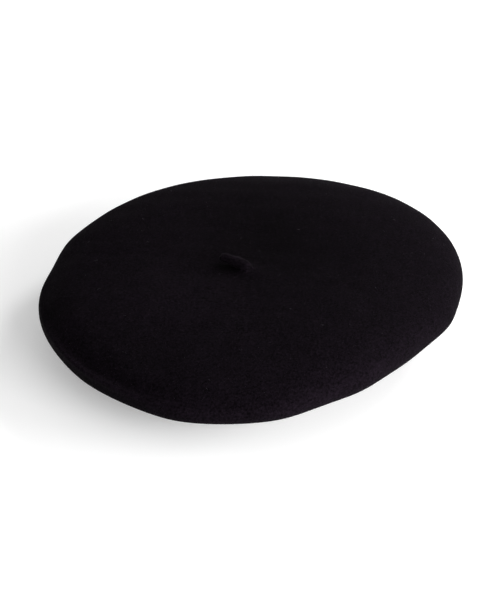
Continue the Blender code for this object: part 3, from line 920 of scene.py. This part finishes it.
# A label tape has about 4 picks a millimetre; they are drawn at 2 so that they show.
tape_picks = add_node(tape, "ShaderNodeTexWave", {"bands_direction": "Z", "Scale": wave_unit / mm(0.5)},
                      {"Vector": (where, "Object")})
tape_ends = add_node(tape, "ShaderNodeTexWave", {"bands_direction": "X", "Scale": wave_unit / mm(0.5)},
                     {"Vector": (where, "Object")})
tape_weave = add_node(tape, "ShaderNodeMath", {"operation": "MULTIPLY"})
tape.node_tree.links.new(tape_picks.outputs["Fac"], tape_weave.inputs[0])
tape.node_tree.links.new(tape_ends.outputs["Fac"], tape_weave.inputs[1])
tape_colour = add_node(tape, "ShaderNodeValToRGB", {}, {"Fac": (tape_weave, "Value")})
tape_colour.color_ramp.elements[0].color = linear("C9C5BC")
tape_colour.color_ramp.elements[1].color = linear("E6E3DC")
tape_bump = add_node(tape, "ShaderNodeBump", {"Strength": 0.4, "Distance": mm(0.06)},
                     {"Height": (tape_weave, "Value")})
tape_shader = add_node(tape, "ShaderNodeBsdfPrincipled", {"Roughness": 0.6, "Sheen Weight": 0.2},
                       {"Base Color": (tape_colour, "Color"), "Normal": (tape_bump, "Normal")})
finish_material(tape, tape_output, tape_shader)
frame["nodes"]["sweatband_join_tape"].data.materials.clear()
frame["nodes"]["sweatband_join_tape"].data.materials.append(tape)


# --- Labels ------------------------------------------------------------------------------------
# Two blank labels of woven white tape: a small one with its ends turned under, tacked flat to the
# leather, and a longer folded one that hangs from a short row of stitches and can be lifted.

def fold_tape(name, folds, width, columns):
    """Extrudes a folded line of (outwards, up) points across the tape's width along +Y."""
    select_none()
    bpy.ops.mesh.primitive_grid_add(x_subdivisions=len(folds) - 1, y_subdivisions=columns, size=1.0)
    made = bpy.context.object
    made.name = made.data.name = name
    points = read_points(made)
    rows = np.rint((points[:, 0] + 0.5) * (len(folds) - 1)).astype(int)
    folded = np.asarray(folds)[rows]
    write_points(made, np.column_stack([folded[:, 0], points[:, 1] * width, folded[:, 1]]))
    return made


def stand_tape(piece, centre, heading):
    """Bends a folded tape round the band and stands it against the leather."""
    points = read_points(piece)
    turn = math.radians(heading) + points[:, 1] / leather_face
    reach = centre + points[:, 0]
    bent = np.column_stack([reach * np.cos(turn), reach * np.sin(turn), points[:, 2]])
    write_points(piece, drape(bent))


size_foot, size_height, size_width = mm(12.0), mm(9.0), mm(14.0)
size_heading = 62.0
label_gap = mm(0.1)
tape_thickness = mm(0.14)
under, over = mm(-0.08), mm(-0.30)
between = (under + over) / 2
turned_under = mm(2.2)
fold_round = mm(0.15)
top_edge = size_foot + size_height
size_folds = ([(under, size_foot + turned_under), (under, size_foot + mm(1.2)),
               (under, size_foot + fold_round), (between, size_foot), (over, size_foot + fold_round)]
              + [(over, size_foot + mm(1.0) + step * mm(1.0)) for step in range(8)]
              + [(over, top_edge - fold_round), (between, top_edge), (under, top_edge - fold_round),
                 (under, top_edge - mm(1.2)), (under, top_edge - turned_under)])
size_label = fold_tape("size_label_tape", size_folds, size_width, 14)
stand_tape(size_label, leather_face - label_gap, size_heading)
apply_modifier(size_label, "SOLIDIFY", {"thickness": tape_thickness, "offset": 0.0})
apply_modifier(size_label, "SUBSURF", {"levels": 1, "render_levels": 1})
size_label.data.shade_smooth()
size_label.data.materials.append(tape)
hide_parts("size_label")
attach(size_label, "crown")

label_hinge = Vector(joints["care_label_flap"]["pos_m"])
care_heading = math.atan2(label_hinge.y - opening_centre.y, label_hinge.x - opening_centre.x)
care_width, care_length = mm(22.0), mm(19.0)
# Heights here are measured from the hinge down, and the two layers lie this far from it.
care_top = mm(-0.45)
care_foot = care_top - care_length
care_steps = 9
layer_reach, fold_reach = mm(0.15), mm(0.16)
front_layer = [(-layer_reach, care_top - care_length * step / care_steps) for step in range(care_steps)]
care_fold = [(-fold_reach, care_foot + mm(0.35)), (0.0, care_foot + mm(0.1)),
             (fold_reach, care_foot + mm(0.35))]
back_layer = [(layer_reach, height) for _, height in reversed(front_layer)]
care_label = fold_tape("care_label_tape", front_layer + care_fold + back_layer, care_width, 12)
points = read_points(care_label)
hang = np.clip(-points[:, 2] / care_length, 0.0, 1.0)
# The free end stands a little off the leather, its corners most.
curl = mm(0.9)
points[:, 0] -= curl * hang ** 2 * (0.4 + (points[:, 1] / (care_width / 2)) ** 2)
place = Matrix.Translation(label_hinge) @ Matrix.Rotation(care_heading, 4, "Z")
write_points(care_label, [place @ Vector(point) for point in points])
apply_modifier(care_label, "SOLIDIFY", {"thickness": tape_thickness, "offset": 0.0})
care_label.data.shade_smooth()
care_label.data.materials.append(tape)
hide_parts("care_label")
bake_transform(care_label)

across = Vector((-math.sin(care_heading), math.cos(care_heading), 0.0))
outwards = Vector((math.cos(care_heading), math.sin(care_heading), 0.0))
seam_ends = np.array([list(label_hinge + across * side * care_width / 2 - outwards * mm(0.1))
                      for side in (-1, 1)])
starts, legs, ups = along_seam(seam_ends, np.tile(-np.array(outwards), (2, 1)), mm(2.4), closed=False)
label_stitches = lay_copies("care_label_stitches", model_stitch(), starts, legs * stitch_share, ups,
                            band_thread, 0.0, cotton)
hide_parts("care_label_thread")
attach(label_stitches, "crown")
